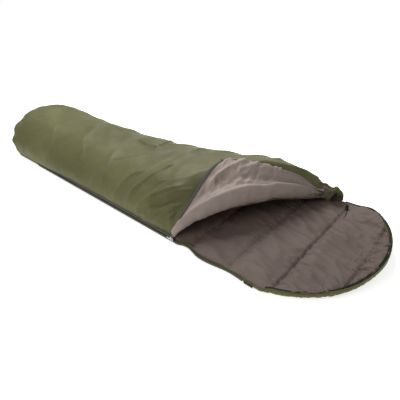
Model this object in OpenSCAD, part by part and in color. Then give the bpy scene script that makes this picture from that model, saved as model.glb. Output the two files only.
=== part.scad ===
// Mummy sleeping bag lying flat, its zip half open and the front corner folded back.
// Millimetres. Origin: middle of the length and width, on the ground.
// +Y runs to the hood, +X to the zip side, +Z up.

/* [Outline] */
// Whole length, foot end to hood tip
bag_length = 2150; // [1800:10:2300]
// Distance from the middle of the length to the collar line
collar_y = 741; // [600:1:850]
// Half width at the foot end
foot_half = 250; // [200:1:300]
// Half width at the shoulders
shoulder_half = 388; // [320:1:440]
// Half width at the collar and hood
collar_half = 400; // [330:1:450]

/* [Loft] */
// Height of the closed front above the back
front_height = 200; // [150:1:240]
// Filling of the front
front_fill = 14; // [8:0.5:20]
// Filling of the back and hood
back_fill = 14.5; // [8:0.5:20]
// Shell and lining fabric as drawn
cloth = 1.2; // [0.8:0.1:2]
// Height of the mouth at the fold, as a share of the front height
mouth_share = 0.47; // [0.42:0.01:0.7]

/* [Zip] */
// Where the slider stands, from the middle of the length
zip_open_y = 285; // [150:1:400]
// Distance from the foot end to the zip's lower end
zip_foot_gap = 275; // [120:1:450]
// Thickness of one row of coil
coil_t = 2.4; // [1.8:0.1:3]
// Length of the slider body
slider_len = 18; // [14:0.5:24]

/* [Cord] */
// Drawcord diameter
cord_d = 3; // [2:0.1:4]
// Outside radius of the hood channel
hem_r = 9; // [7:0.1:11]
// Outside radius of the cord lock barrel
lock_r = 7; // [6:0.1:9]
// Travel of the lock button
press = 3; // [2:0.1:3.5]

/* [Hidden] */
half_len = bag_length / 2;
gap = 0.2;
shoulder_y = collar_y - 104;
nose_y = -half_len + 90;
nose_len = 90;
nose_low = 68;
zip_end_y = -half_len + zip_foot_gap;
slope = (shoulder_half - foot_half) / (shoulder_y + half_len - 100);
edge_ang = atan(slope);
slope2 = (collar_half - shoulder_half) / (collar_y - shoulder_y);
edge_ang2 = atan(slope2);
neck_gap = 0.5;
hood_y = collar_y + neck_gap;
hood_len = half_len - hood_y;
// floor layers
z_fill = cloth + gap;
z_lin = z_fill + back_fill + gap;
z_top = z_lin + cloth - 0.1;
z0 = z_top + 0.4;
// front layers as depths below the outside of the front
d_fill = cloth + gap;
d_lin = d_fill + front_fill;
d_in = d_lin + gap + 1;
// fold line
sx = wid(zip_open_y);
u_k = -0.82;
fold_far_y = collar_y - 72;
kx = u_k * wid(fold_far_y);
fold_len = sqrt(pow(sx - kx, 2) + pow(fold_far_y - zip_open_y, 2));
nx = (fold_far_y - zip_open_y) / fold_len;
ny = (sx - kx) / fold_len;
// free corner of the folded flap
tip_x = sx - 405;
tip_y = zip_open_y - 27;
a_tip = 0.435;
nu = 20;
thetas = [for (i = [0:nu]) 180 * i / nu];
// hood
hood_ex = 1.85;
lock_x = -322;
lock_y = 786;
lock_ang = 18;
lock_z = 22;
cord_z = lock_z + 10.6;
cord_r = cord_d / 2;

function sst(t) = let (c = max(0, min(1, t))) c * c * (3 - 2 * c);
function wid(y) = y <= shoulder_y
    ? shoulder_half - slope * (shoulder_y - y)
    : shoulder_half + slope2 * (y - shoulder_y);
function hgt(y) = front_height * lookup(y / half_len,
    [[-0.97, 1.07], [-0.88, 0.95], [-0.74, 0.855], [-0.46, 0.785], [-0.28, 0.765], [-0.07, 0.81],
    [0.02, 0.89], [0.14, 0.95], [0.29, 1.075], [0.37, 1.15], [0.45, 1.15], [0.53, 1.10], [0.69, 1.0]]);
function away(x, y) = (sx - x) * nx + (zip_open_y - y) * ny;
function far_side(x) = sst((-x - 50) / 220);
function dip(x, y) = let (low = mouth_share - 0.12 * far_side(x))
    low + (1 - low) * sst(away(x, y) / (200 - 140 * far_side(x)));
function uu(t) = sign(cos(t)) * pow(abs(cos(t)), 0.625);
function vv(t) = pow(max(0, sin(t)), 1.2);
function y_end(u) = u > u_k
    ? zip_open_y + (fold_far_y - zip_open_y) * (1 - u) / (1 - u_k)
    : fold_far_y + (collar_y - 1 - fold_far_y) * (u_k - u) / (1 + u_k);
// outside height of the front at a plan position
function front_z(x, y) = let (q = min(0.999, abs(x) / wid(y)))
    z0 + hgt(y) * dip(x, y) * pow(1 - pow(q, 3.2), 0.6);
// a point of the front, depth d below its outside
function front_pt(t, y, d) = let (u = uu(t))
    [(wid(y) - d) * u, y, z0 + (hgt(y) * dip(wid(y) * u, y) - d) * vv(t)];
function front_grid(d, rows) = [for (i = [0:rows]) [for (t = thetas)
    let (ye = y_end(uu(t)), y = nose_y + 0.5 + (ye - nose_y - 0.5) * (1 - pow(1 - i / rows, 1.6)))
    front_pt(t, y, d)]];
// a point of the rounded foot end, p from 90 at its mouth to 8 at its tip
function foot_pt(t, p, d) = [(wid(nose_y) - d) * pow(sin(p), 0.77) * uu(t),
    nose_y - 0.3 - (nose_low + (nose_len - nose_low) * vv(t) - 0.3 - d) * pow(max(0, cos(p)), 0.77),
    z0 + (hgt(nose_y) * (0.92 + 0.08 * sin(p)) - d) * vv(t)];
function foot_grid(d, rows) = [for (i = [0:rows]) [for (t = thetas) foot_pt(t, 90 - 84 * i / rows, d)]];

// closed solid between an upper grid a and a lower grid b
module slab(a, b, flip = false, cap = false) {
    nr = len(a);
    nc = len(a[0]);
    n = nr * nc;
    pts = concat([for (r = a) each r], [for (r = b) each r]);
    top = [for (i = [0:nr - 2], j = [0:nc - 2]) let (p = i * nc + j)
        each [[p, p + nc + 1, p + nc], [p, p + 1, p + nc + 1]]];
    bot = [for (f = top) [f[0] + n, f[2] + n, f[1] + n]];
    left = [for (i = [0:nr - 2]) let (p = i * nc, q = p + nc) each [[p, q, q + n], [p, q + n, p + n]]];
    right = [for (i = [0:nr - 2]) let (p = i * nc + nc - 1, q = p + nc) each [[p, q + n, q], [p, p + n, q + n]]];
    near = [for (j = [0:nc - 2]) each [[j, j + 1 + n, j + 1], [j, j + n, j + 1 + n]]];
    e = (nr - 1) * nc;
    far = [for (j = [0:nc - 2]) let (p = e + j) each [[p, p + 1, p + 1 + n], [p, p + 1 + n, p + n]]];
    lids = concat([for (j = [0:(nc - 1) / 2 - 1]) let (p = e + j, q = e + nc - 1 - j)
        each q - p > 2 ? [[p, p + 1, q], [p + 1, q - 1, q]] : [[p, p + 1, q]]],
        [for (j = [0:(nc - 1) / 2 - 1]) let (p = e + n + j, q = e + n + nc - 1 - j)
        each q - p > 2 ? [[p, q, p + 1], [p + 1, q, q - 1]] : [[p, q, p + 1]]],
        [[e, e + nc - 1, e + nc - 1 + n], [e, e + nc - 1 + n, e + n]]);
    fs = concat(top, bot, left, right, near, cap ? lids : far);
    polyhedron(pts, flip ? [for (f = fs) [for (k = [len(f) - 1:-1:0]) f[k]]] : fs);
}

// tube or bar along a list of points, sides around
function ring_at(c, prev, next, r, sides) = let (
    d = (next - prev) / norm(next - prev),
    s = cross(d, [0, 0, 1]) / norm(cross(d, [0, 0, 1])),
    w = cross(s, d))
    [for (k = [0:sides - 1]) c + r * (s * cos(360 * k / sides) + w * sin(360 * k / sides))];
module sweep(path, r, sides) {
    m = len(path);
    pts = [for (i = [0:m - 1]) each ring_at(path[i], path[max(0, i - 1)], path[min(m - 1, i + 1)], r, sides)];
    walls = [for (i = [0:m - 2], k = [0:sides - 1])
        let (p = i * sides + k, q = i * sides + (k + 1) % sides)
        each [[p, p + sides, q + sides], [p, q + sides, q]]];
    polyhedron(pts, concat(walls, [[for (k = [0:sides - 1]) k]],
        [[for (k = [sides - 1:-1:0]) (m - 1) * sides + k]]));
}
module pipe(path, r, ri, sides) {
    m = len(path);
    n = m * sides;
    function rings(q) = [for (i = [0:m - 1])
        each ring_at(path[i], path[max(0, i - 1)], path[min(m - 1, i + 1)], q, sides)];
    outer = [for (i = [0:m - 2], k = [0:sides - 1])
        let (p = i * sides + k, q = i * sides + (k + 1) % sides)
        each [[p, p + sides, q + sides], [p, q + sides, q]]];
    inner = [for (f = outer) [f[0] + n, f[2] + n, f[1] + n]];
    e = (m - 1) * sides;
    ends = [for (k = [0:sides - 1]) let (q = (k + 1) % sides)
        each [[k, q, q + n], [k, q + n, k + n], [e + k, e + q + n, e + q], [e + k, e + k + n, e + q + n]]];
    polyhedron(concat(rings(r), rings(ri)), concat(outer, inner, ends));
}
// bar of a given section along the straight zip edge, between two positions
module edge_bar(y1, y2, section, side = 1) {
    translate([side * wid(y2), y2, 0])
        rotate([0, 0, -side * (y2 > shoulder_y ? edge_ang2 : edge_ang)])
            rotate([90, 0, 0])
                linear_extrude((y2 - y1) / cos(y2 > shoulder_y ? edge_ang2 : edge_ang))
                    polygon(section);
}
// bar beside the zip edge that follows its bend at the shoulder
module plan_bar(y1, y2, xa, xb, za, zb) {
    ys = [y1, shoulder_y, y2];
    translate([0, 0, za]) linear_extrude(zb - za) polygon(concat(
        [for (y = ys) [wid(y) + xb, y]], [for (k = [2:-1:0]) [wid(ys[k]) + xa, ys[k]]]));
}
module outline() {
    half = concat(
        [for (p = [0:7.5:90]) [wid(nose_y) * pow(sin(p), 0.77), nose_y - nose_low * pow(max(0, cos(p)), 0.77)]],
        [[wid(shoulder_y), shoulder_y], [collar_half, collar_y]]);
    polygon(concat(half, [for (i = [len(half) - 1:-1:1]) [-half[i][0], half[i][1]]]));
}

// ---- back of the bag: outer cloth, filling, lining
module base_shell() color([0.37, 0.38, 0.25]) difference() {
    linear_extrude(z_top) outline();
    translate([0, 0, cloth]) linear_extrude(z_top) offset(delta = -cloth) outline();
}
module base_fill() color([0.85, 0.85, 0.82])
    translate([0, 0, z_fill]) linear_extrude(back_fill) offset(delta = -cloth - gap) outline();
module base_lining() color([0.43, 0.38, 0.35])
    translate([0, 0, z_lin]) linear_extrude(z_top - z_lin) offset(delta = -cloth - gap) outline();

// ---- closed front of the bag
module top_shell() color([0.42, 0.41, 0.28]) slab(front_grid(0, 18), front_grid(cloth, 18));
module top_fill() color([0.85, 0.85, 0.82]) slab(front_grid(d_fill, 18), front_grid(d_lin, 18));
module top_lining() color([0.43, 0.38, 0.35]) slab(front_grid(d_lin + gap, 18), front_grid(d_in, 18));
module foot_shell() color([0.40, 0.40, 0.27])
    slab(foot_grid(0, 8), foot_grid(cloth, 8), flip = true, cap = true);
module foot_fill() color([0.85, 0.85, 0.82])
    slab(foot_grid(d_fill, 8), foot_grid(d_lin, 8), flip = true, cap = true);
module foot_lining() color([0.43, 0.38, 0.35])
    slab(foot_grid(d_lin + gap, 8), foot_grid(d_in, 8), flip = true, cap = true);
// piping along the side without a zip
module side_seam() color([0.25, 0.26, 0.18])
    edge_bar(nose_y, shoulder_y - 30, [for (k = [0:7]) [-2.3 + 2 * cos(45 * k), z_top + 2 * sin(45 * k)]], -1);
// gathered hem of what is left of the collar
module collar_hem() color([0.33, 0.34, 0.22])
    sweep([for (u = [-0.84:-0.028:-0.93]) let (y = y_end(u) + 11, w = wid(min(y, collar_y)) - 8)
        [w * u, y, z0 - 1 + (hgt(y) * dip(w * u, y) - 8) * pow(1 - pow(abs(u), 3.2), 0.6)]], 5, 10);
// short hook and loop tab at the near collar corner
module collar_tab() color([0.15, 0.16, 0.15])
    edge_bar(collar_y - 70, collar_y - 28, [[0.2, 3], [2.7, 3], [2.7, z_top - 1.5], [0.2, z_top - 1.5]]);

// ---- zip, on the side wall
zc = z_top + 3.8;
module zip_tape_base() color([0.36, 0.35, 0.33]) {
    plan_bar(zip_end_y, collar_y - 78, 0.1, 3.6, 4, 9);
    plan_bar(zip_end_y, collar_y - 78, 2.6, 3.6, 8, zc - 4.1);
}
module zip_tape_top() color([0.36, 0.35, 0.33])
    edge_bar(zip_end_y, zip_open_y + 9, [[2.6, zc + 4.1], [3.6, zc + 4.1], [2.4, zc + 16], [-0.4, zc + 16], [0.5, zc + 12]]);
module zip_coil_base() color([0.10, 0.10, 0.10])
    plan_bar(zip_end_y + 10, collar_y - 80, 1.9, 1.9 + coil_t, zc - 4, zc - 0.9);
module zip_coil_top() color([0.10, 0.10, 0.10])
    edge_bar(zip_end_y + 10, zip_open_y + 9,
        [[1.9, zc + 0.9], [1.9 + coil_t, zc + 0.9], [1.9 + coil_t, zc + 4], [1.9, zc + 4]]);
module zip_foot_stop() color([0.15, 0.15, 0.15])
    edge_bar(zip_end_y + 1, zip_end_y + 9, [[1.6, zc - 4], [4.6, zc - 4], [4.6, zc + 4], [1.6, zc + 4]]);

// ---- folded corner of the front, lying on the front with its lining up
function fold_pt(a) = [sx + (kx - sx) * a, zip_open_y + (fold_far_y - zip_open_y) * a];
function rim_pt(a) = a <= a_tip
    ? [sx, zip_open_y] + ([tip_x, tip_y] - [sx, zip_open_y]) * (a / a_tip)
    : [tip_x, tip_y] + ([kx, fold_far_y] - [tip_x, tip_y]) * ((a - a_tip) / (1 - a_tip));
function flap_pt(a, b, h, puff) = let (p = fold_pt(a) + (rim_pt(a) - fold_pt(a)) * b)
    [p[0], p[1], front_z(p[0], p[1]) + 7 + 10 * sst((a - 0.35) / 0.35) + h + puff * 30 * pow(1 - b, 2) * sin(180 * a)];
// share of the way from the fold to the rim that stops m short of the rim
function short_of(a, m) = 1 - m / norm(rim_pt(a) - fold_pt(a));
function flap_grid(h, puff) = [for (i = [0:8]) [for (j = [0:18])
    let (a = 0.06 + 0.88 * j / 18) flap_pt(a, short_of(a, 14) * (1 - i / 8), h, puff)]];
module flap_shell() color([0.42, 0.41, 0.28]) slab(flap_grid(cloth, 0), flap_grid(0, 0));
module flap_fill() color([0.85, 0.85, 0.82]) slab(flap_grid(d_lin, 1), flap_grid(d_fill, 0));
module flap_lining() color([0.50, 0.46, 0.43]) slab(flap_grid(d_in, 1), flap_grid(d_lin + gap, 1));
function band(m1, m2, h, a1, a2) = [for (i = [0:1]) [for (j = [0:9])
    let (a = a1 + (a2 - a1) * j / 9) flap_pt(a, short_of(a, m1 + (m2 - m1) * i), h, 0)]];
module flap_zip_tape() color([0.36, 0.35, 0.33])
    slab(band(3.4, 13.4, 9, 0.07, 0.425), band(3.4, 13.4, 7.8, 0.07, 0.425));
module flap_zip_coil() color([0.10, 0.10, 0.10])
    slab(band(0, 3.1, 9.6, 0.07, 0.41), band(0, 3.1, 7.2, 0.07, 0.41));
module flap_top_stop() color([0.15, 0.15, 0.15])
    slab(band(0, 3.1, 9.9, 0.413, 0.425), band(0, 3.1, 6.9, 0.413, 0.425));
module flap_collar_hem() color([0.33, 0.34, 0.22])
    sweep([for (j = [0:9]) let (a = 0.455 + 0.465 * j / 9) flap_pt(a, short_of(a, 6), 7.5, 0)], 4.5, 10);

// ---- hood
function rad(x, y) = pow(pow(abs(x) / collar_half, hood_ex) + pow((y - hood_y) / hood_len, hood_ex), 1 / hood_ex);
function lift(x, y) = 0.13 * (y - hood_y) * sst((rad(x, y) - 0.5) / 0.5) * (0.6 - 0.4 * x / collar_half);
hx = collar_half - 2 * hem_r - 1;
hy = hood_len - 2 * hem_r - 1;
function hood_grid(z) = [for (i = [0:9]) [for (j = [0:20])
    let (u = 0.985 * sign(cos(9 * j)) * pow(abs(cos(9 * j)), 0.8),
        x = hx * u, y = hood_y + hy * pow(1 - pow(abs(u), hood_ex), 1 / hood_ex) * i / 9)
    [x, y, lift(x, y) + z]]];
module hood_shell() color([0.40, 0.40, 0.27]) slab(hood_grid(cloth), hood_grid(0));
module hood_fill() color([0.85, 0.85, 0.82]) slab(hood_grid(z_fill + back_fill), hood_grid(z_fill));
module hood_lining() color([0.40, 0.35, 0.33]) slab(hood_grid(z_top), hood_grid(z_lin));
function hem_pt(p) = let (
    x = (collar_half - hem_r) * sign(cos(p)) * pow(abs(cos(p)), 2 / hood_ex),
    y = hood_y + (hood_len - hem_r) * pow(sin(p), 2 / hood_ex))
    [x, y, lift(x, y) + hem_r + 0.3];
hem_path = [for (p = [4:4.3:176]) hem_pt(p)];
module hood_hem() color([0.30, 0.31, 0.20]) pipe(hem_path, hem_r, 3.4, 12);
cv = [cos(lock_ang), sin(lock_ang), 0];
lock_c = [lock_x, lock_y, cord_z];
hem_out = hem_pt(176);
module hood_drawcord() color([0.12, 0.12, 0.12])
    sweep(concat([for (p = [4:4.3:176]) hem_pt(p)],
        [hem_out + [2, -9, 2], hem_out + [9, -10, 9], hem_out + [20, -5, 16], lock_c - 34 * cv,
        lock_c - 20 * cv, lock_c, lock_c + 20 * cv, lock_c + 30 * cv]), cord_r, 8);
tail = [lock_c + 30.4 * cv, lock_c + 38 * cv + [0, 0, -1], lock_c + 46 * cv + [1, 0, -5],
    lock_c + 53 * cv + [3, 0, -8.8], lock_c + 62 * cv + [6, -2, -10.6], lock_c + 74 * cv + [9, -8, -11],
    lock_c + 86 * cv + [10, -18, -10.6]];
module cord_tail() color([0.12, 0.12, 0.12]) sweep(tail, cord_r, 8);
module cord_knot() color([0.10, 0.10, 0.10])
    translate(tail[6] + 3.6 * (tail[6] - tail[5]) / norm(tail[6] - tail[5])) sphere(r = 3, $fn = 16);

// ---- cord lock: barrel, spring and button on one upright axis
module cross_hole(z) translate([lock_x, lock_y, z]) rotate([0, 90, lock_ang])
    cylinder(h = 40, r = cord_r + 0.8, center = true, $fn = 40);
module lock_barrel() color([0.08, 0.08, 0.08]) difference() {
    translate([lock_x, lock_y, lock_z]) cylinder(h = 19.6, r = lock_r, $fn = 48);
    translate([lock_x, lock_y, lock_z + 1.6]) cylinder(h = 20, r = lock_r - 2.2, $fn = 48);
    cross_hole(cord_z);
}
module lock_spring() color([0.6, 0.6, 0.62]) difference() {
    translate([lock_x, lock_y, lock_z + 1.7]) cylinder(h = 5.2, r = lock_r - 2.8, $fn = 48);
    translate([lock_x, lock_y, lock_z]) cylinder(h = 20, r = lock_r - 3.8, $fn = 48);
}
module lock_button() color([0.14, 0.14, 0.14]) difference() {
    union() {
        translate([lock_x, lock_y, lock_z + 7]) cylinder(h = 12.6 + press + 0.3, r = lock_r - 2.4, $fn = 48);
        translate([lock_x, lock_y, lock_z + 19.9 + press]) cylinder(h = 3.4, r = lock_r - 0.6, $fn = 48);
    }
    hull() {
        cross_hole(cord_z);
        cross_hole(cord_z + press);
    }
}

// ---- slider on the zip, and its pull
module at_slider() translate([wid(zip_open_y), zip_open_y, 0]) rotate([0, 0, -edge_ang]) children();
module slider_body() color([0.70, 0.70, 0.70]) at_slider() {
    h = slider_len / 2;
    difference() {
        union() {
            translate([5, -h, zc - 7.2]) cube([1.4, 2 * h, 14.4]);
            translate([0.6, -h, zc - 7.2]) cube([0.7, 2 * h, 14.4]);
            translate([1, h - 5, zc - 0.6]) cube([4.5, 4, 1.2]);
            translate([4.1, -h, zc - 7.2]) cube([1.2, 2 * h, 1]);
            translate([4.1, -h, zc + 6.2]) cube([1.2, 2 * h, 1]);
            translate([6.2, -2.6, zc - 4.8]) cube([4.2, 5.2, 1.7]);
            translate([6.2, -2.6, zc + 3.1]) cube([4.2, 5.2, 1.7]);
            translate([8.6, 0, zc - 4.8]) cylinder(h = 9.6, r = 1.1, $fn = 32);
        }
    }
}
module slider_pull() color([0.66, 0.66, 0.66]) at_slider() difference() {
    union() {
        translate([8.6, 0, zc - 2.9]) cylinder(h = 5.8, r = 2.2, $fn = 40);
        translate([7.8, -25, zc - 2.9]) cube([1.6, 24, 5.8]);
    }
    translate([8.6, 0, zc - 4]) cylinder(h = 8, r = 1.3, $fn = 32);
    translate([0, -20, zc]) rotate([0, 90, 0]) cylinder(h = 20, r = 1.6, $fn = 32);
}

base_shell();
base_fill();
base_lining();
top_shell();
top_fill();
top_lining();
foot_shell();
foot_fill();
foot_lining();
side_seam();
collar_hem();
collar_tab();
zip_tape_base();
zip_tape_top();
zip_coil_base();
zip_coil_top();
zip_foot_stop();
flap_shell();
flap_fill();
flap_lining();
flap_zip_tape();
flap_zip_coil();
flap_top_stop();
flap_collar_hem();
hood_shell();
hood_fill();
hood_lining();
hood_hem();
hood_drawcord();
cord_tail();
cord_knot();
lock_barrel();
lock_spring();
lock_button();
slider_body();
slider_pull();
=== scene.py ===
import math
import bmesh
import bpy
import numpy as np
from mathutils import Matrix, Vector, noise
from mathutils.bvhtree import BVHTree


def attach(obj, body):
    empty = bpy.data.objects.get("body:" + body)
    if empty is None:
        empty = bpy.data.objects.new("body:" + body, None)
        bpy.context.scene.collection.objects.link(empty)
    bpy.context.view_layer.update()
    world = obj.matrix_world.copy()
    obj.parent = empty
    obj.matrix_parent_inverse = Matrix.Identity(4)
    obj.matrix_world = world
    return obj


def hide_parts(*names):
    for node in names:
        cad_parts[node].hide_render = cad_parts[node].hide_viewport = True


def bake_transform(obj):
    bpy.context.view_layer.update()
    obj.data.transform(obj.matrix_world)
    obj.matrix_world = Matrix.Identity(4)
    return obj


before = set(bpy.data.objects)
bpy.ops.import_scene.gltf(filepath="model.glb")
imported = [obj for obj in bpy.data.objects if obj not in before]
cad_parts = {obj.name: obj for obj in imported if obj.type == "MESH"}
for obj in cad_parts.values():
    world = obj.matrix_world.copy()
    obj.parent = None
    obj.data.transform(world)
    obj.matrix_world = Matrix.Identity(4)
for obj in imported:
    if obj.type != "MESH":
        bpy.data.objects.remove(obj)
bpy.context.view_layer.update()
scene = bpy.context.scene
scene.view_settings.view_transform = "Standard"
scene.view_settings.look = "None"

# ---------------------------------------------------------------------------
# Camera: above the hood end on the zip side, looking down along the bag.
camera = bpy.data.objects.new("camera", bpy.data.cameras.new("camera"))
scene.collection.objects.link(camera)
camera.data.lens = 40.3
camera.data.sensor_width = 36
camera.data.clip_end = 50
camera.location = (1.5256, 1.3336, 1.1449)
turned, tilted = math.radians(127.59), math.radians(30.77)
aim = Vector((-math.sin(turned) * math.cos(tilted), math.cos(turned) * math.cos(tilted), -math.sin(tilted)))
camera.rotation_euler = aim.to_track_quat("-Z", "Y").to_euler()
scene.camera = camera

# ---------------------------------------------------------------------------
# Floor and soft studio light: a pale back-lit table, one wide lamp overhead on
# the far side and a weaker one from the zip side.
floor_mesh = bmesh.new()
bmesh.ops.create_grid(floor_mesh, x_segments=2, y_segments=2, size=14)
floor_data = bpy.data.meshes.new("floor")
floor_mesh.to_mesh(floor_data)
floor_mesh.free()
floor = bpy.data.objects.new("floor", floor_data)
scene.collection.objects.link(floor)
floor.location.z = -0.0012
floor_paint = bpy.data.materials.new("pale_floor")
floor_paint.use_nodes = True
floor_shader = floor_paint.node_tree.nodes["Principled BSDF"]
floor_shader.inputs["Base Color"].default_value = (0.93, 0.93, 0.93, 1)
floor_shader.inputs["Roughness"].default_value = 0.9
floor_shader.inputs["Emission Color"].default_value = (1, 1, 1, 1)
floor_shader.inputs["Emission Strength"].default_value = 0.66
floor_data.materials.append(floor_paint)
world = bpy.data.worlds.new("studio")
scene.world = world
world.use_nodes = True
sky_nodes, sky_links = world.node_tree.nodes, world.node_tree.links
fill_light = sky_nodes["Background"]
fill_light.inputs["Color"].default_value = (1, 1, 1, 1)
fill_light.inputs["Strength"].default_value = 0.36
backdrop = sky_nodes.new("ShaderNodeBackground")
backdrop.inputs["Color"].default_value = (1, 1, 1, 1)
backdrop.inputs["Strength"].default_value = 1.0
seen = sky_nodes.new("ShaderNodeLightPath")
either = sky_nodes.new("ShaderNodeMixShader")
sky_links.new(seen.outputs["Is Camera Ray"], either.inputs["Fac"])
sky_links.new(fill_light.outputs["Background"], either.inputs[1])
sky_links.new(backdrop.outputs["Background"], either.inputs[2])
sky_links.new(either.outputs["Shader"], sky_nodes["World Output"].inputs["Surface"])
for name, place, size, power in (("lamp_top", (-1.4, -1.0, 2.4), 1.5, 80),
                                 ("lamp_zip_side", (2.6, -0.4, 1.7), 1.6, 20)):
    lamp = bpy.data.objects.new(name, bpy.data.lights.new(name, "AREA"))
    lamp.data.size = size
    lamp.data.energy = power
    lamp.location = place
    lamp.rotation_euler = (Vector((0, 0.1, 0)) - Vector(place)).to_track_quat("-Z", "Y").to_euler()
    scene.collection.objects.link(lamp)

# ---------------------------------------------------------------------------
# Hood drawcord: 3 mm black braided cord. It runs inside the hood's channel,
# comes out at the far corner, passes the cord lock and ends in a knot.
def cord_finish(name, colour, turns):
    finish = bpy.data.materials.new(name)
    finish.use_nodes = True
    nodes, links = finish.node_tree.nodes, finish.node_tree.links
    shader = nodes["Principled BSDF"]
    shader.inputs["Roughness"].default_value = 0.75
    where = nodes.new("ShaderNodeTexCoord")
    strands = nodes.new("ShaderNodeTexWave")
    strands.bands_direction = "DIAGONAL"
    strands.inputs["Scale"].default_value = turns
    strands.inputs["Distortion"].default_value = 1.5
    links.new(where.outputs["Object"], strands.inputs["Vector"])
    shade = nodes.new("ShaderNodeValToRGB")
    shade.color_ramp.elements[0].color = (*[c * 0.6 for c in colour], 1)
    shade.color_ramp.elements[1].color = (*[c * 1.5 for c in colour], 1)
    links.new(strands.outputs["Fac"], shade.inputs["Fac"])
    links.new(shade.outputs["Color"], shader.inputs["Base Color"])
    relief = nodes.new("ShaderNodeBump")
    relief.inputs["Strength"].default_value = 0.5
    relief.inputs["Distance"].default_value = 0.0006
    links.new(strands.outputs["Fac"], relief.inputs["Height"])
    links.new(relief.outputs["Normal"], shader.inputs["Normal"])
    return finish


def round_wire(name, route, radius, roundness, finish):
    curve = bpy.data.curves.new(name, "CURVE")
    curve.dimensions = "3D"
    curve.bevel_depth = radius
    curve.bevel_resolution = roundness
    curve.use_fill_caps = True
    line = curve.splines.new("POLY")
    line.points.add(len(route) - 1)
    for point, place in zip(line.points, route):
        point.co = (*place, 1)
    curve.materials.append(finish)
    wire = bpy.data.objects.new(name, curve)
    scene.collection.objects.link(wire)
    return wire


cord_radius = 0.0015
black_cord = cord_finish("black_cord", (0.022, 0.022, 0.022), 260)
lock_middle = Vector((-0.322, 0.786, 0.0326))
along_cord = Vector((math.cos(math.radians(18)), math.sin(math.radians(18)), 0))
tail_points = [lock_middle + along_cord * step + Vector(shift) for step, shift in (
    (0.0304, (0, 0, 0)), (0.038, (0, 0, -0.001)), (0.046, (0.001, 0, -0.005)),
    (0.053, (0.003, 0, -0.0088)), (0.062, (0.006, -0.002, -0.0106)),
    (0.074, (0.009, -0.008, -0.011)), (0.086, (0.010, -0.018, -0.0106)))]
smooth_tail = []
tail_end = len(tail_points) - 1
for i in range(tail_end):
    before, here, there, after = (tail_points[max(0, min(tail_end, i + k))] for k in (-1, 0, 1, 2))
    for t in (0, 0.25, 0.5, 0.75):
        gone = 3 * t**2 - 2 * t**3
        smooth_tail.append(here * (2 * t**3 - 3 * t**2 + 1) + there * gone
                           + (there - before) * 0.5 * (t**3 - 2 * t**2 + t)
                           + (after - here) * 0.5 * (t**3 - t**2))
smooth_tail.append(tail_points[-1])
cord_end = round_wire("cord_end", smooth_tail, cord_radius, 3, black_cord)
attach(cord_end, "hood")
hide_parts("cord_tail")
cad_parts["cord_knot"].data.materials.clear()
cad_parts["cord_knot"].data.materials.append(black_cord)

# ---------------------------------------------------------------------------
# Front of the bag: an arched quilt of olive nylon over wadding, sewn to the
# back along the far side and zipped to it along the near one. The foot end is
# a stuffed, rounded box. This is the outer cloth. These sizes are in metres,
# and the places are along the bag from the middle of its length.
foot_y, shoulder_y, collar_y, hood_y, hood_tip = -0.985, 0.637, 0.741, 0.7415, 1.075
shoulder_half, collar_half = 0.388, 0.400
foot_corner_y, foot_corner_half = -0.975, 0.250
taper = (shoulder_half - foot_corner_half) / (shoulder_y - foot_corner_y)
flare = (collar_half - shoulder_half) / (collar_y - shoulder_y)
zip_open_y, fold_far_y, fold_far_share = 0.285, 0.669, 0.82
seam_z = 0.0176


def ease(t):
    t = min(1.0, max(0.0, t))
    return t * t * (3 - 2 * t)


def half_width(y):
    return shoulder_half + (taper if y <= shoulder_y else flare) * (y - shoulder_y)


def front_rise(y):
    stations = (-1.0428, -0.946, -0.7955, -0.4945, -0.301, -0.0753, 0.0215, 0.1505,
                0.3118, 0.3978, 0.4838, 0.5698, 0.7418)
    rises = (0.214, 0.190, 0.171, 0.157, 0.153, 0.162, 0.178, 0.190, 0.215, 0.230, 0.230, 0.220, 0.200)
    return sum(float(np.interp(y + s, stations, rises)) for s in (-0.06, -0.02, 0.02, 0.06)) / 4


slider_end = Vector((half_width(zip_open_y), zip_open_y, 0))
collar_end = Vector((-fold_far_share * half_width(fold_far_y), fold_far_y, 0))
fold_way = (collar_end - slider_end).normalized()
fold_normal = Vector((fold_way.y, -fold_way.x, 0))


def from_fold(x, y):
    return (slider_end.x - x) * fold_normal.x + (slider_end.y - y) * fold_normal.y


def fold_dip(x, y):
    far = ease((-x - 0.05) / 0.22)
    low = 0.47 - 0.12 * far
    share = low + (1 - low) * ease(from_fold(x, y) / (0.20 - 0.14 * far))
    return share + (1 - share) * 0.9 * ease((-x / half_width(y) - 0.825) / 0.085) * ease((y - 0.60) / 0.07)


def front_top(x, y):
    q = min(0.999, abs(x) / half_width(y))
    return seam_z + front_rise(y) * fold_dip(x, y) * (1 - q**3.2) ** 0.6


def front_end(u):
    if u > -fold_far_share:
        return zip_open_y + (fold_far_y - zip_open_y) * (1 - u) / (1 + fold_far_share)
    return fold_far_y + (collar_y - 0.001 - fold_far_y) * (-fold_far_share - u) / (1 - fold_far_share)


def collar_droop(u, y):
    return 0.014 * ease((y - front_end(u) + 0.048) / 0.048) * ease((-u - 0.80) / 0.06)


def ridges(p, size, stretch, turn, seed):
    c, s = math.cos(turn), math.sin(turn)
    q = Vector(((p.x * c + p.y * s) / (size * stretch), (p.y * c - p.x * s) / size, p.z / size * 0.5 + seed))
    return 1 - 2 * abs(noise.noise(q))


def soft_swell(p, size, seed):
    return noise.noise(Vector((p.x / size, p.y / size, p.z / size + seed)))


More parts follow.
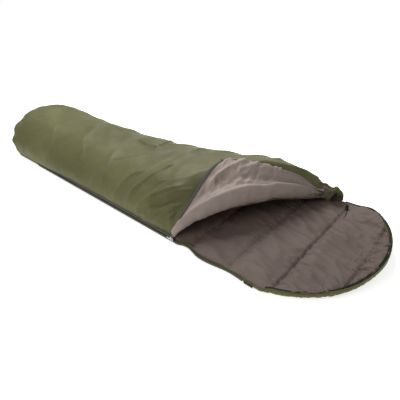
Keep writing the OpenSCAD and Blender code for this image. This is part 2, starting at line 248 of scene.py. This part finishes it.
def pulled_line(p, start, end, width, height):
    ax, ay, bx, by = *start, *end
    length = math.hypot(bx - ax, by - ay)
    t = ((p.x - ax) * (bx - ax) + (p.y - ay) * (by - ay)) / length**2
    if t < -0.3 or t > 1.3:
        return 0.0
    side = ((p.y - ay) * (bx - ax) - (p.x - ax) * (by - ay)) / length
    fade = ease((t + 0.3) / 0.4) * ease((1.3 - t) / 0.4)
    return height * fade * math.exp(-abs(side) / (width if side > 0 else width * 0.45))


def cloth_sheet(name, across, along, shape):
    sheet_mesh = bmesh.new()
    bmesh.ops.create_grid(sheet_mesh, x_segments=across, y_segments=along, size=1)
    uv = sheet_mesh.loops.layers.uv.new("cloth")
    for face in sheet_mesh.faces:
        for loop in face.loops:
            loop[uv].uv = ((loop.vert.co.x + 1) / 2, (loop.vert.co.y + 1) / 2)
    for v in sheet_mesh.verts:
        v.co = shape(v.co.x, v.co.y)
    bmesh.ops.remove_doubles(sheet_mesh, verts=sheet_mesh.verts, dist=0.00002)
    data = bpy.data.meshes.new(name)
    sheet_mesh.to_mesh(data)
    sheet_mesh.free()
    for face in data.polygons:
        face.use_smooth = True
    piece = bpy.data.objects.new(name, data)
    scene.collection.objects.link(piece)
    return piece


def push_out(piece, amount):
    data = piece.data
    data.update()
    moves = [(v.co.copy(), v.normal.copy()) for v in data.vertices]
    for v, (place, normal) in zip(data.vertices, moves):
        v.co = place + normal * amount(place)
    data.update()


def thick(piece, thickness, offset=-1):
    wall = piece.modifiers.new("cloth thickness", "SOLIDIFY")
    wall.thickness = thickness
    wall.offset = offset


def woven(name, colour, dark, light, rough, sheen, crumple, thread=420):
    finish = bpy.data.materials.new(name)
    finish.use_nodes = True
    nodes, links = finish.node_tree.nodes, finish.node_tree.links
    shader = nodes["Principled BSDF"]
    shader.inputs["Roughness"].default_value = rough
    shader.inputs["Sheen Weight"].default_value = sheen
    shader.inputs["Sheen Roughness"].default_value = 0.35
    shader.inputs["Sheen Tint"].default_value = (*[min(1, c * 5) for c in colour], 1)
    shader.inputs["Specular IOR Level"].default_value = 0.15
    where = nodes.new("ShaderNodeTexCoord")
    cloudy = nodes.new("ShaderNodeTexNoise")
    cloudy.inputs["Scale"].default_value = 3.4
    cloudy.inputs["Detail"].default_value = 6
    cloudy.inputs["Roughness"].default_value = 0.58
    links.new(where.outputs["Object"], cloudy.inputs["Vector"])
    tone = nodes.new("ShaderNodeValToRGB")
    tone.color_ramp.elements[0].position = 0.34
    tone.color_ramp.elements[1].position = 0.68
    tone.color_ramp.elements[0].color = (*[c * dark for c in colour], 1)
    tone.color_ramp.elements[1].color = (*[c * light for c in colour], 1)
    links.new(cloudy.outputs["Fac"], tone.inputs["Fac"])
    warp = nodes.new("ShaderNodeTexWave")
    warp.inputs["Scale"].default_value = thread
    weft = nodes.new("ShaderNodeTexWave")
    weft.bands_direction = "Y"
    weft.inputs["Scale"].default_value = thread
    links.new(where.outputs["Object"], warp.inputs["Vector"])
    links.new(where.outputs["Object"], weft.inputs["Vector"])
    weave = nodes.new("ShaderNodeMath")
    weave.operation = "MULTIPLY"
    links.new(warp.outputs["Fac"], weave.inputs[0])
    links.new(weft.outputs["Fac"], weave.inputs[1])
    threads = nodes.new("ShaderNodeMix")
    threads.data_type = "RGBA"
    threads.blend_type = "MULTIPLY"
    threads.inputs["Factor"].default_value = 0.10
    links.new(tone.outputs["Color"], threads.inputs["A"])
    links.new(weave.outputs["Value"], threads.inputs["B"])
    links.new(threads.outputs["Result"], shader.inputs["Base Color"])
    creases = nodes.new("ShaderNodeTexNoise")
    creases.inputs["Scale"].default_value = 22
    creases.inputs["Detail"].default_value = 3
    creases.inputs["Distortion"].default_value = 0.8
    links.new(where.outputs["Object"], creases.inputs["Vector"])
    soft = nodes.new("ShaderNodeBump")
    soft.inputs["Strength"].default_value = crumple
    soft.inputs["Distance"].default_value = 0.004
    links.new(creases.outputs["Fac"], soft.inputs["Height"])
    fine = nodes.new("ShaderNodeBump")
    fine.inputs["Strength"].default_value = 0.15
    fine.inputs["Distance"].default_value = 0.0003
    links.new(weave.outputs["Value"], fine.inputs["Height"])
    links.new(soft.outputs["Normal"], fine.inputs["Normal"])
    links.new(fine.outputs["Normal"], shader.inputs["Normal"])
    return finish


olive_nylon = woven("olive_nylon", (0.130, 0.128, 0.056), 0.80, 1.22, 0.50, 0.08, 0.34)


def front_point(gx, gy, depth):
    angle = math.radians(90 * (1 - gx))
    u = math.copysign(abs(math.cos(angle)) ** 0.625, math.cos(angle))
    v = max(0.0, math.sin(angle)) ** 1.2
    s = (gy + 1) / 2
    if s < 0.16:
        p = math.radians(90 * s / 0.16)
        side = (half_width(foot_y) - depth + 0.024 * math.sin(math.pi * v) ** 0.7) * math.sin(p) ** 0.66
        reach = 0.068 + 0.084 * math.sin(math.pi * (0.05 + 0.80 * v)) ** 0.8 - depth
        return Vector((side * u, foot_y - reach * max(0.0, math.cos(p)) ** 0.72,
                       seam_z + (front_rise(foot_y) * (0.95 + 0.05 * math.sin(p)) - depth) * v))
    y = foot_y + (front_end(u) - foot_y) * (s - 0.16) / 0.84
    w = half_width(y)
    stuffed = 0.024 * math.sin(math.pi * v) ** 0.7 * ease((-0.3 - y) / 0.68)
    rise = front_rise(y) * fold_dip(w * u, y) - depth
    high = max(0.02, rise - collar_droop(u, y) / max(v, 0.3))
    return Vector(((w - depth + stuffed) * u, y, seam_z + high * v))


# Creases that the zip and the folded corner pull into the cloth: the two ends
# of each in plan, its width and its height.
pulled = (((-0.075, -0.300), (-0.044, -0.150), 0.016, 0.011),
          ((-0.044, -0.150), (-0.200, -0.195), 0.014, 0.010),
          ((-0.050, -0.380), (-0.160, -0.300), 0.018, 0.007),
          ((0.140, -0.246), (-0.037, -0.090), 0.022, 0.008),
          ((0.270, -0.236), (0.083, -0.325), 0.024, 0.007), ((0.322, 0.060), (0.218, 0.190), 0.018, 0.011),
          ((0.333, 0.105), (0.205, 0.230), 0.014, 0.011), ((0.330, 0.175), (0.255, 0.250), 0.011, 0.010),
          ((0.343, 0.215), (0.290, 0.245), 0.009, 0.008), ((0.300, -0.020), (0.100, 0.065), 0.022, 0.008),
          ((0.100, 0.060), (-0.150, 0.040), 0.024, 0.009), ((0.310, -0.120), (0.190, -0.060), 0.020, 0.008),
          ((0.200, -0.050), (0.030, 0.000), 0.022, 0.006), ((0.245, -0.420), (0.150, -0.520), 0.025, 0.006),
          ((0.120, -0.560), (-0.060, -0.640), 0.030, 0.005), ((0.230, -0.700), (0.120, -0.800), 0.022, 0.005),
          ((-0.220, 0.330), (-0.330, 0.450), 0.018, 0.008), ((-0.240, 0.440), (-0.345, 0.560), 0.014, 0.008),
          ((-0.180, 0.150), (-0.300, 0.240), 0.022, 0.007))


def shell_wrinkles(p):
    hold = ease((p.z - 0.020) / 0.05)
    near_fold = ease(1 - from_fold(p.x, p.y) / 0.50)
    near_slider = ease(1 - math.hypot(p.x - 0.36, p.y - 0.24) / 0.32)
    at_collar = ease((p.y - 0.60) / 0.10)
    out = 0.0080 * soft_swell(p, 0.20, 3.1) + 0.0042 * soft_swell(p, 0.085, 7.7)
    out += 0.0060 * (ridges(p, 0.085, 2.6, math.radians(38), 1.7) - 0.5) * (0.35 + 0.65 * near_fold)
    out += 0.0030 * (ridges(p, 0.042, 3.0, math.radians(150), 6.3) - 0.5) * (0.35 + 0.65 * near_fold)
    out += 0.0065 * (ridges(p, 0.035, 4.0, math.radians(128), 5.2) - 0.5) * near_slider
    out += 0.0065 * (ridges(p, 0.022, 4.0, math.radians(55), 9.4) - 0.5) * at_collar
    covered = ease((from_fold(p.x, p.y) + 0.02) / 0.05) * ease((0.26 - from_fold(p.x, p.y)) / 0.05)
    covered *= ease((p.x + 0.25) / 0.08) * ease((p.y - 0.24) / 0.05)
    out = min(out, 0.008) * (1 - 0.7 * covered)
    out += 1.15 * sum(pulled_line(p, *line) for line in pulled) * (1 - covered)
    if p.y < foot_y:
        end = ease((-1.00 - p.y) / 0.06)
        out += 0.0050 * math.cos(2 * math.pi * (p.z - 0.085) / 0.062) * end
        out += 0.0020 * (ridges(p, 0.030, 2.5, math.radians(90), 4.8) - 0.5) * end
    return out * (0.15 + 0.85 * hold)


front_shell = cloth_sheet("front_shell", 150, 320, lambda x, y: front_point(x, y, 0.0))
push_out(front_shell, shell_wrinkles)
front_shell.data.materials.append(olive_nylon)
thick(front_shell, 0.0012)
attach(front_shell, "bag")
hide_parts("top_shell", "top_fill", "foot_shell", "foot_fill")

# Inside of the front: the grey-brown lining, 17 mm inside the shell and drawn
# in at each quilting line.
brown_lining = woven("brown_lining", (0.158, 0.117, 0.101), 0.90, 1.10, 0.58, 0.06, 0.22)
front_lining = cloth_sheet("front_lining", 80, 160, lambda x, y: front_point(x, y, 0.0170))
push_out(front_lining, lambda p: 0.002 * soft_swell(p, 0.12, 9.0)
         - 0.003 * max(0, math.cos((p.y - 0.165) / 0.2083 * 2 * math.pi)) ** 8)
front_lining.data.materials.append(brown_lining)
thick(front_lining, 0.001, 1)
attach(front_lining, "bag")
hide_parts("top_lining", "foot_lining")

# ---------------------------------------------------------------------------
# Folded corner: past the fold line the front turns over and lies on itself
# with its lining up. The lining is one cloth from the ceiling of the mouth,
# round the fat roll of the fold, to the rim; the shell does the same inside
# the fold.
free_corner = slider_end + Vector((-0.405, -0.027, 0))
corner_share = 0.435


def fold_line(a):
    return slider_end.lerp(collar_end, a)


def flap_rim(a):
    if a <= corner_share:
        t = a / corner_share
        return slider_end.lerp(free_corner, t) + fold_normal * 0.012 * ease((t - 0.7) / 0.3)
    t = (a - corner_share) / (1 - corner_share)
    return free_corner.lerp(collar_end, t) + fold_normal * (0.012 + 0.028 * math.sin(math.pi * t) - 0.012 * t)


def roll_crest(a):
    bow = max(0.0, math.sin(math.pi * min(1.0, max(0.0, a)))) ** 0.58
    return 0.040 + 0.168 * bow * (1.06 - 0.22 * a) - 0.012 * math.exp(-((a - 0.58) / 0.07) ** 2)


def flap_surface(a, b):
    start = fold_line(a) - fold_normal * 0.012
    p = start.lerp(flap_rim(a), b)
    high = max(roll_crest(a), front_top(start.x, start.y) + 0.016)
    puffed = math.sin(math.pi * min(1, b)) ** 0.5 * math.sin(math.pi * a) ** 0.5
    on_front = front_top(p.x, p.y) + 0.014 + 0.012 * puffed
    z = max(high + (on_front - high) * ease(b / 0.62), on_front)
    return Vector((p.x, p.y, z - 0.009 * math.exp(-((b - 0.17) / 0.07) ** 2) * math.sin(math.pi * a)))


def lining_fold(gx, gy):
    a = (gx + 1) / 2
    s = (gy + 1) / 2
    foot = fold_line(a)
    low = max(0.019, front_top(foot.x, foot.y) - 0.020)
    if s < 0.22:
        p = foot - fold_normal * (0.16 * (1 - s / 0.22) + 0.012)
        sunk = 0.035 * ease((-p.x - 0.08) / 0.12) * (1 - s / 0.22)
        return Vector((p.x, p.y, max(0.019, front_top(p.x, p.y) - 0.0195 - sunk)))
    if s < 0.54:
        high = max(roll_crest(a), front_top(foot.x, foot.y) + 0.012)
        turn = math.radians(-90 + 180 * (s - 0.22) / 0.32)
        reach = 0.50 * (high - low) / 2 + 0.004
        reach *= (0.45 + 0.55 * ease(a / 0.22)) * (0.5 + 0.5 * ease((1 - a) / 0.2))
        reach = max(0.018 * ease((1 - a) / 0.3), reach)
        p = foot - fold_normal * (0.012 - reach * math.cos(turn) * (1 - 0.25 * math.sin(turn)))
        return Vector((p.x, p.y, (low + high) / 2 + (high - low) / 2 * math.sin(turn)))
    return flap_surface(a, (s - 0.54) / 0.46)


def shell_fold(gx, gy):
    a = (gx + 1) / 2
    s = (gy + 1) / 2
    foot = fold_line(a)
    if s < 0.30:
        p = foot - fold_normal * (0.09 * (1 - s / 0.30) + 0.024)
        return Vector((p.x, p.y, front_top(p.x, p.y) - 0.0015 + 0.0025 * ease(s / 0.30)))
    if s < 0.45:
        turn = math.radians(-90 + 180 * (s - 0.30) / 0.15)
        p = foot - fold_normal * (0.024 - 0.006 * math.cos(turn))
        return Vector((p.x, p.y, front_top(p.x, p.y) + 0.0055 + 0.0045 * math.sin(turn)))
    p = (foot - fold_normal * 0.024).lerp(flap_rim(a), (s - 0.45) / 0.55 * 0.995)
    return Vector((p.x, p.y, front_top(p.x, p.y) + 0.0075))


def fold_sheet(name, across, along, shape):
    piece = cloth_sheet(name, across, along, lambda x, y: Vector((x, y, 0)))
    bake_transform(piece)
    for v in piece.data.vertices:
        v.co = shape(v.co.x, v.co.y)
    piece.data.update()
    return piece


def flap_wrinkles(p):
    d = from_fold(p.x, p.y)
    on_top = ease((d - 0.035) / 0.04) * ease((p.z - 0.08) / 0.05)
    zip_way = (free_corner - slider_end).normalized()
    off_zip = abs((p.x - slider_end.x) * zip_way.y - (p.y - slider_end.y) * zip_way.x)
    rimward = ease((0.30 - d) / 0.10) * (0.10 + 0.90 * ease((off_zip - 0.012) / 0.035))
    out = 0.0110 * (ridges(p, 0.046, 3.4, math.radians(-12), 2.4) - 0.35) * on_top * rimward
    out += 0.0060 * (ridges(p, 0.026, 2.8, math.radians(28), 8.1) - 0.35) * on_top * rimward
    out += 0.0030 * (ridges(p, 0.045, 3.0, math.radians(75), 5.5) - 0.5) * ease((0.06 - d) / 0.05)
    out += 0.0025 * soft_swell(p, 0.08, 4.4) + 0.0010 * (ridges(p, 0.03, 4, math.radians(60), 6.6) - 0.5)
    out -= pulled_line(p, (-0.118, 0.415), (0.010, 0.452), 0.007, 0.006) * on_top
    return out


# Painted light: the folded corner's lining is the same cloth as brown_lining, given a much paler colour for
# the light that falls on it there.
lining_painted_lit = woven("lining_painted_lit", (0.350, 0.284, 0.250), 0.92, 1.08, 0.52, 0.10, 0.25)
flap_lining = fold_sheet("flap_lining_cloth", 150, 200, lining_fold)
push_out(flap_lining, flap_wrinkles)
flap_lining.data.materials.append(lining_painted_lit)
thick(flap_lining, 0.001)
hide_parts("flap_lining", "flap_fill")
flap_shell = fold_sheet("flap_shell_cloth", 100, 120, shell_fold)
flap_shell.data.materials.append(olive_nylon)
thick(flap_shell, 0.001, 0)
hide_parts("flap_shell")

# ---------------------------------------------------------------------------
# Back of the bag and hood, inside: one cloth from the foot to the hood's rim,
# quilted to the wadding by stitched lines across it.
quilt_lines = (-0.875, -0.667, -0.459, -0.25, -0.042, 0.167, 0.375, 0.583, 0.785, 1.000)


def slack_edge(y):
    return (0.009 * math.exp(-((y - 0.45) / 0.085) ** 2) - 0.006 * math.exp(-((y - 0.59) / 0.055) ** 2)
            - 0.016 * math.exp(-((y - 0.365) / 0.050) ** 2))


def zip_side_drawn(y):
    return 0.013 * ease((y - 0.743) / 0.04) * ease((1.02 - y) / 0.14)


def back_outline(s, inset, side):
    if s < 0.06:
        p = math.radians(90 * s / 0.06)
        y = foot_y - 0.0857 * max(0.0, math.cos(p)) ** 0.72 + inset
        return y, (half_width(foot_y) - inset) * math.sin(p) ** 0.72
    if s < 0.62:
        y = foot_y + (collar_y - foot_y) * (s - 0.06) / 0.56
        return y, half_width(y) + (slack_edge(y) if side > 0 else 0) - inset
    p = math.radians(90 * (s - 0.62) / 0.38)
    y = collar_y + (hood_tip - collar_y - inset) * math.sin(p) ** 1.0811
    drawn = zip_side_drawn(y) if side > 0 else 0
    return y, (collar_half - inset) * max(0.0, math.cos(p)) ** 1.0811 - drawn


def hood_lift(x, y):
    if y <= hood_y:
        return 0.0
    r = ((abs(x) / collar_half) ** 1.85 + ((y - hood_y) / (hood_tip - hood_y)) ** 1.85) ** (1 / 1.85)
    sewn = 0.13 * (y - hood_y) * ease((r - 0.5) / 0.5) * (0.6 - x)
    return sewn + 0.028 * ease((r - 0.68) / 0.32) * ease((y - 0.80) / 0.12) * ease((0.28 - x) / 0.5)


def back_lining_point(gx, gy):
    y, w = back_outline((gy + 1) / 2, 0.007, gx)
    x = w * math.copysign(1 - (1 - abs(gx)) ** 1.35, gx)
    if y < 0.75:
        edge = min(1.0, max(0.0, w - abs(x)) / 0.045)
    else:
        edge = min(1.0, max(0.0, 1 - math.hypot(x / 0.393, (y - 0.741) / 0.327)) / 0.12)
    return Vector((x, y, 0.0165 + hood_lift(x, y) + 0.006 * math.sqrt(edge * (2 - edge))))


def quilting(p):
    nearest = min(quilt_lines, key=lambda q: abs(q - p.y))
    d = abs(p.y - nearest)
    inside = ease((0.385 - abs(p.x)) / 0.05)
    out = -0.0085 * math.exp(-(d / 0.0085) ** 2) - 0.0045 * math.exp(-(d / 0.035) ** 2)
    out += 0.0050 * (ridges(p, 0.020, 3.0, math.radians(88), 3.3) - 0.5) * math.exp(-(d / 0.045) ** 2)
    out += 0.0050 * soft_swell(p, 0.13, 2.2) + 0.0075 * (ridges(p, 0.070, 2.6, math.radians(62), 6.1) - 0.5)
    out += 0.0055 * (ridges(p, 0.040, 3.0, math.radians(78), 1.3) - 0.5) * ease((p.y - 0.50) / 0.25)
    rays = ridges(p, 0.016, 5.0, math.atan2(p.y - 0.74, p.x), 4.2) - 0.5
    out += 0.0045 * rays * ease((p.y - 0.86) / 0.16)
    return out * inside


back_lining = cloth_sheet("back_lining", 150, 330, back_lining_point)
push_out(back_lining, quilting)
back_lining.data.materials.append(brown_lining)
thick(back_lining, 0.001)
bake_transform(back_lining)
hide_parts("base_lining", "base_fill", "hood_lining", "hood_fill")

# Back of the bag and hood, outside: olive nylon that wraps up round the edge
# to the zip tape and to the hood's drawn rim.
def back_shell_point(gx, gy):
    y, w = back_outline((gy + 1) / 2, 0.0005, gx)
    in_hood = ease((y - collar_y) / 0.03)
    k = abs(gx)
    lift = hood_lift(w * gx, y)
    if k < 0.72:
        return Vector((w * 0.955 * gx / 0.72, y, 0.0006 + lift))
    turn = math.radians(-90 + (165 + 15 * in_hood) * (k - 0.72) / 0.28)
    bulge = 0.045 * w
    x = w * 0.955 + bulge * math.cos(turn) * min(1, 0.018 / max(bulge, 1e-5)) + (bulge - min(bulge, 0.018))
    z = 0.0006 + lift + (0.0085 + 0.002 * in_hood) * (1 + math.sin(turn))
    return Vector((math.copysign(min(x, w), gx), y, z))


back_shell = cloth_sheet("back_shell", 120, 300, back_shell_point)
for v in back_shell.data.vertices:
    if v.co.z > 0.003:
        v.co.z += 0.0012 * noise.noise(v.co * 40) * ease((v.co.y - 0.70) / 0.1)
back_shell.data.materials.append(olive_nylon)
thick(back_shell, 0.0006, 1)
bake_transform(back_shell)
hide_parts("base_shell", "hood_shell")

# ---------------------------------------------------------------------------
# Quilting stitches: grey thread, one short stitch every 5 mm along each line
# that shows in the mouth and the hood, sunk into the lining.
thread_grey = woven("thread_grey", (0.30, 0.25, 0.23), 0.9, 1.1, 0.7, 0.0, 0.1, 900)
lining_surface = BVHTree.FromPolygons([v.co for v in back_lining.data.vertices],
                                      [tuple(f.vertices) for f in back_lining.data.polygons])


def stitch_row(name, body, rows):
    row_mesh = bmesh.new()
    for y, first, last in rows:
        count = int((last - first) / 0.005)
        for i in range(count):
            x = first + (last - first) * i / count
            place, facing, _, _ = lining_surface.ray_cast(Vector((x, y, 0.3)), Vector((0, 0, -1)))
            if place is None:
                continue
            one = bmesh.ops.create_uvsphere(row_mesh, u_segments=6, v_segments=4, radius=1)
            bmesh.ops.scale(row_mesh, vec=(0.0018, 0.0005, 0.0004), verts=one["verts"])
            bmesh.ops.translate(row_mesh, vec=place + Vector((0, 0, 0.0002)), verts=one["verts"])
    data = bpy.data.meshes.new(name)
    row_mesh.to_mesh(data)
    row_mesh.free()
    piece = bpy.data.objects.new(name, data)
    scene.collection.objects.link(piece)
    data.materials.append(thread_grey)
    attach(piece, body)


stitch_row("back_stitches", "bag", ((0.167, -0.33, 0.335), (0.375, -0.35, 0.355), (0.583, -0.365, 0.365)))
stitch_row("hood_stitches", "hood", ((0.785, -0.36, 0.355), (1.000, -0.175, 0.165)))

# ---------------------------------------------------------------------------
# Hood rim: a drawstring channel of olive nylon, gathered on the cord inside
# it, with a thin dark piping where it meets the lining.
def gathered_tube(name, around, along, place):
    tube_mesh = bmesh.new()
    bmesh.ops.create_grid(tube_mesh, x_segments=around, y_segments=along, size=1)
    for v in tube_mesh.verts:
        v.co = place(math.pi * (v.co.x + 1), (v.co.y + 1) / 2)
    bmesh.ops.remove_doubles(tube_mesh, verts=tube_mesh.verts, dist=0.00001)
    bmesh.ops.holes_fill(tube_mesh, edges=[e for e in tube_mesh.edges if e.is_boundary])
    bmesh.ops.recalc_face_normals(tube_mesh, faces=tube_mesh.faces)
    data = bpy.data.meshes.new(name)
    tube_mesh.to_mesh(data)
    tube_mesh.free()
    for face in data.polygons:
        face.use_smooth = True
    piece = bpy.data.objects.new(name, data)
    scene.collection.objects.link(piece)
    return piece


def hood_rim(t, inset=0.009, up=0.0093):
    p = math.radians(3.5 + 173 * t)
    power = 2 / 1.85
    x = (collar_half - inset) * math.copysign(abs(math.cos(p)) ** power, math.cos(p))
    y = hood_y + (hood_tip - hood_y - inset) * max(0.0, math.sin(p)) ** power
    if x > 0:
        x -= zip_side_drawn(y)
    return Vector((x, y, hood_lift(x, y) + up))


def round_rim(t, turn, wide, high, centre=hood_rim):
    here = centre(t)
    ahead = (centre(min(1.0, t + 0.002)) - centre(max(0.0, t - 0.002))).normalized()
    side = ahead.cross(Vector((0, 0, 1))).normalized()
    return here + side * wide * math.cos(turn) + Vector((0, 0, 1)) * high * math.sin(turn)


def gathers(t, turn, count, seed):
    return noise.noise(Vector((t * count, math.cos(turn) * 0.8, math.sin(turn) * 0.8 + seed)))


def hood_channel_point(turn, t):
    pucker = 1 + 0.26 * gathers(t, turn, 95, 2.0) + 0.16 * gathers(t, turn, 210, 5.0)
    return round_rim(t, turn, 0.0088 * pucker, 0.0086 * pucker)


dark_olive = woven("dark_olive_binding", (0.078, 0.080, 0.038), 0.80, 1.25, 0.62, 0.06, 0.5, 500)
hood_channel = gathered_tube("hood_channel", 14, 900, hood_channel_point)
hood_channel.data.materials.append(olive_nylon)
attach(hood_channel, "hood")
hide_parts("hood_hem")
black_binding = woven("black_binding", (0.030, 0.030, 0.026), 0.8, 1.3, 0.7, 0.05, 0.4, 600)
hood_piping = gathered_tube("hood_piping", 8, 420, lambda turn, t: round_rim(
    t, turn, 0.0034 * (1 + 0.3 * gathers(t, 0, 160, 8.0)), 0.0032,
    lambda s: hood_rim(s, 0.0125, 0.0208)))
hood_piping.data.materials.append(black_binding)
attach(hood_piping, "hood")

# The drawcord inside that channel: it leaves the channel at the far corner and
# runs through the cord lock.
drawn_route = [hood_rim(i / 70) for i in range(71)]
leaving = drawn_route[-1]
drawn_route += [leaving + Vector((0.002, -0.009, 0.002)), leaving + Vector((0.009, -0.010, 0.009)),
                leaving + Vector((0.020, -0.005, 0.016))]
drawn_route += [lock_middle + along_cord * step for step in (-0.034, -0.020, 0.0, 0.020, 0.0302)]
drawcord = round_wire("hood_drawcord_line", drawn_route, cord_radius, 2, black_cord)
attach(drawcord, "hood")
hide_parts("hood_drawcord")

# ---------------------------------------------------------------------------
# Collar hems: a narrow gathered channel of olive nylon along what is left of
# the collar on the far side, and a thin binding along the collar edge of the
# folded corner in the lining colour, painted lighter for the light on that corner.
def collar_line(t):
    u = -0.83 - 0.145 * t
    y = front_end(u) + 0.006
    x = (half_width(min(y, collar_y)) - 0.004) * u
    arch = (1 - abs(u) ** 3.2) ** 0.6
    rise = front_rise(y) * fold_dip(x, y) - 0.004 - collar_droop(u, front_end(u)) / max(arch, 0.3)
    return Vector((x, y, seam_z + max(0.02, rise) * arch))


def collar_hem_point(turn, t):
    pucker = 1 + 0.30 * gathers(t, turn, 14, 3.0) + 0.18 * gathers(t, turn, 34, 6.0)
    return round_rim(t, turn, 0.0110 * pucker, 0.0190 * pucker, collar_line)


collar_hem = gathered_tube("collar_hem_gathered", 16, 130, collar_hem_point)
collar_hem.data.materials.append(olive_nylon)
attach(collar_hem, "bag")
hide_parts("collar_hem")


def flap_edge(t):
    a = 0.455 + 0.50 * t
    rim = flap_surface(a, 1.0)
    inward = (fold_line(a) - flap_rim(a)).normalized()
    return rim + inward * 0.004 + Vector((0, 0, 0.001))


flap_hem = gathered_tube("flap_collar_binding", 10, 200, lambda turn, t: round_rim(
    t, turn, 0.0042 * (1 + 0.3 * gathers(t, turn, 40, 4.0)) * (1 - 0.5 * t),
    0.0042 * (1 + 0.3 * gathers(t, turn, 40, 7.0)) * (1 - 0.5 * t), flap_edge))
# The binding takes the folded corner's lining colour, painted lighter for the light that falls there.
flap_hem.data.materials.append(lining_painted_lit)
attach(flap_hem, "flap")
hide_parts("flap_collar_hem")

# ---------------------------------------------------------------------------
# Zip: two grey woven tapes and two rows of black nylon coil, closed from the
# foot to the slider. Past the slider one side follows the back's edge and the
# other the rim of the folded corner.
grey_tape = woven("grey_tape", (0.090, 0.084, 0.076), 0.85, 1.15, 0.75, 0.0, 0.15, 700)
black_coil = cord_finish("black_coil", (0.020, 0.020, 0.021), 420)
coil_pitch = 0.003
steps_per_turn = 8
coil_gap = 0.0031


def coil_row(name, body, nodes, length, centre, wide, high):
    steps = int(length / coil_pitch) * steps_per_turn
    route = []
    for i in range(steps + 1):
        spin = 2 * math.pi * i / steps_per_turn
        here, out, up = centre(i / steps)
        route.append(here + out * wide * math.cos(spin) + up * high * math.sin(spin))
    row = round_wire(name, route, 0.00045, 0, black_coil)
    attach(row, body)
    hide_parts(*nodes)


def open_edge(y):
    return half_width(y) + slack_edge(y) * ease((y - 0.31) / 0.03)


def along_back(first, last, z):
    def centre(t):
        y = first + (last - first) * t
        return Vector((open_edge(y) + coil_gap, y, z)), Vector((1, 0, 0)), Vector((0, 0, 1))
    return centre


def along_flap(t):
    a = 0.05 + 0.365 * t
    inward = (fold_line(a) - flap_rim(a)).normalized()
    return flap_surface(a, 1.0) - inward * 0.0006 + Vector((0, 0, 0.0030)), inward, Vector((0, 0, 1))


coil_row("coil_back", "bag", ["zip_coil_base"], 1.451, along_back(-0.790, 0.661, 0.01845), 0.0011, 0.0012)
coil_row("coil_front", "bag", ["zip_coil_top"], 1.084, along_back(-0.790, 0.294, 0.02335), 0.0011, 0.0012)
coil_row("coil_flap", "flap", ["flap_zip_coil"], 0.390, along_flap, 0.0014, 0.0010)


def tape_strip(name, body, node, along, place):
    strip = cloth_sheet(name, 6, along, place)
    strip.data.materials.append(grey_tape)
    thick(strip, 0.0007, 0)
    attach(strip, body)
    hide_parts(node)


def back_tape(gx, gy):
    y = -0.800 + 1.463 * (gy + 1) / 2
    k = (gx + 1) / 2
    x = open_edge(y) + 0.0009 + 0.0020 * k**0.5
    return Vector((x, y, 0.0040 + 0.0125 * k))


def front_tape(gx, gy):
    y = -0.800 + 1.094 * (gy + 1) / 2
    k = (gx + 1) / 2
    x = half_width(y) + 0.0026 - 0.0022 * k**2
    return Vector((x, y, 0.0249 + 0.0085 * k))


def flap_tape(gx, gy):
    a = 0.05 + 0.375 * (gy + 1) / 2
    k = (gx + 1) / 2
    span = (fold_line(a) - flap_rim(a)).length
    reach = 0.001 + min(0.016, span * 0.6) * k
    lift = 0.0034 + 0.0008 * noise.noise(Vector((a * 60, k, 0)))
    return flap_surface(a, 1 - reach / max(span, 0.02)) + Vector((0, 0, lift))


tape_strip("tape_back", "bag", "zip_tape_base", 400, back_tape)
tape_strip("tape_front", "bag", "zip_tape_top", 300, front_tape)
tape_strip("tape_flap", "flap", "flap_zip_tape", 120, flap_tape)

# ---------------------------------------------------------------------------
# Small hardware: moulded black stops, cord lock barrel and button, a metal
# slider with its pull, a steel spring, the tab and the far side's piping.
def moulded(name, colour, rough):
    finish = bpy.data.materials.new(name)
    finish.use_nodes = True
    nodes, links = finish.node_tree.nodes, finish.node_tree.links
    shader = nodes["Principled BSDF"]
    shader.inputs["Roughness"].default_value = rough
    where = nodes.new("ShaderNodeTexCoord")
    grain = nodes.new("ShaderNodeTexNoise")
    grain.inputs["Scale"].default_value = 900
    grain.inputs["Detail"].default_value = 2
    links.new(where.outputs["Object"], grain.inputs["Vector"])
    tone = nodes.new("ShaderNodeValToRGB")
    tone.color_ramp.elements[0].color = (*[c * 0.85 for c in colour], 1)
    tone.color_ramp.elements[1].color = (*[c * 1.2 for c in colour], 1)
    links.new(grain.outputs["Fac"], tone.inputs["Fac"])
    links.new(tone.outputs["Color"], shader.inputs["Base Color"])
    skin = nodes.new("ShaderNodeBump")
    skin.inputs["Strength"].default_value = 0.2
    skin.inputs["Distance"].default_value = 0.0001
    links.new(grain.outputs["Fac"], skin.inputs["Height"])
    links.new(skin.outputs["Normal"], shader.inputs["Normal"])
    return finish


black_plastic = moulded("black_plastic", (0.020, 0.020, 0.021), 0.42)
bare_metal = moulded("bare_metal", (0.50, 0.49, 0.47), 0.34)
bare_metal.node_tree.nodes["Principled BSDF"].inputs["Metallic"].default_value = 1.0
for node, finish in (("zip_foot_stop", black_plastic), ("flap_top_stop", black_plastic),
                     ("lock_barrel", black_plastic), ("lock_button", black_plastic),
                     ("lock_spring", bare_metal), ("slider_body", bare_metal), ("slider_pull", bare_metal),
                     ("collar_tab", black_binding), ("side_seam", dark_olive)):
    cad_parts[node].data.materials.clear()
    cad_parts[node].data.materials.append(finish)
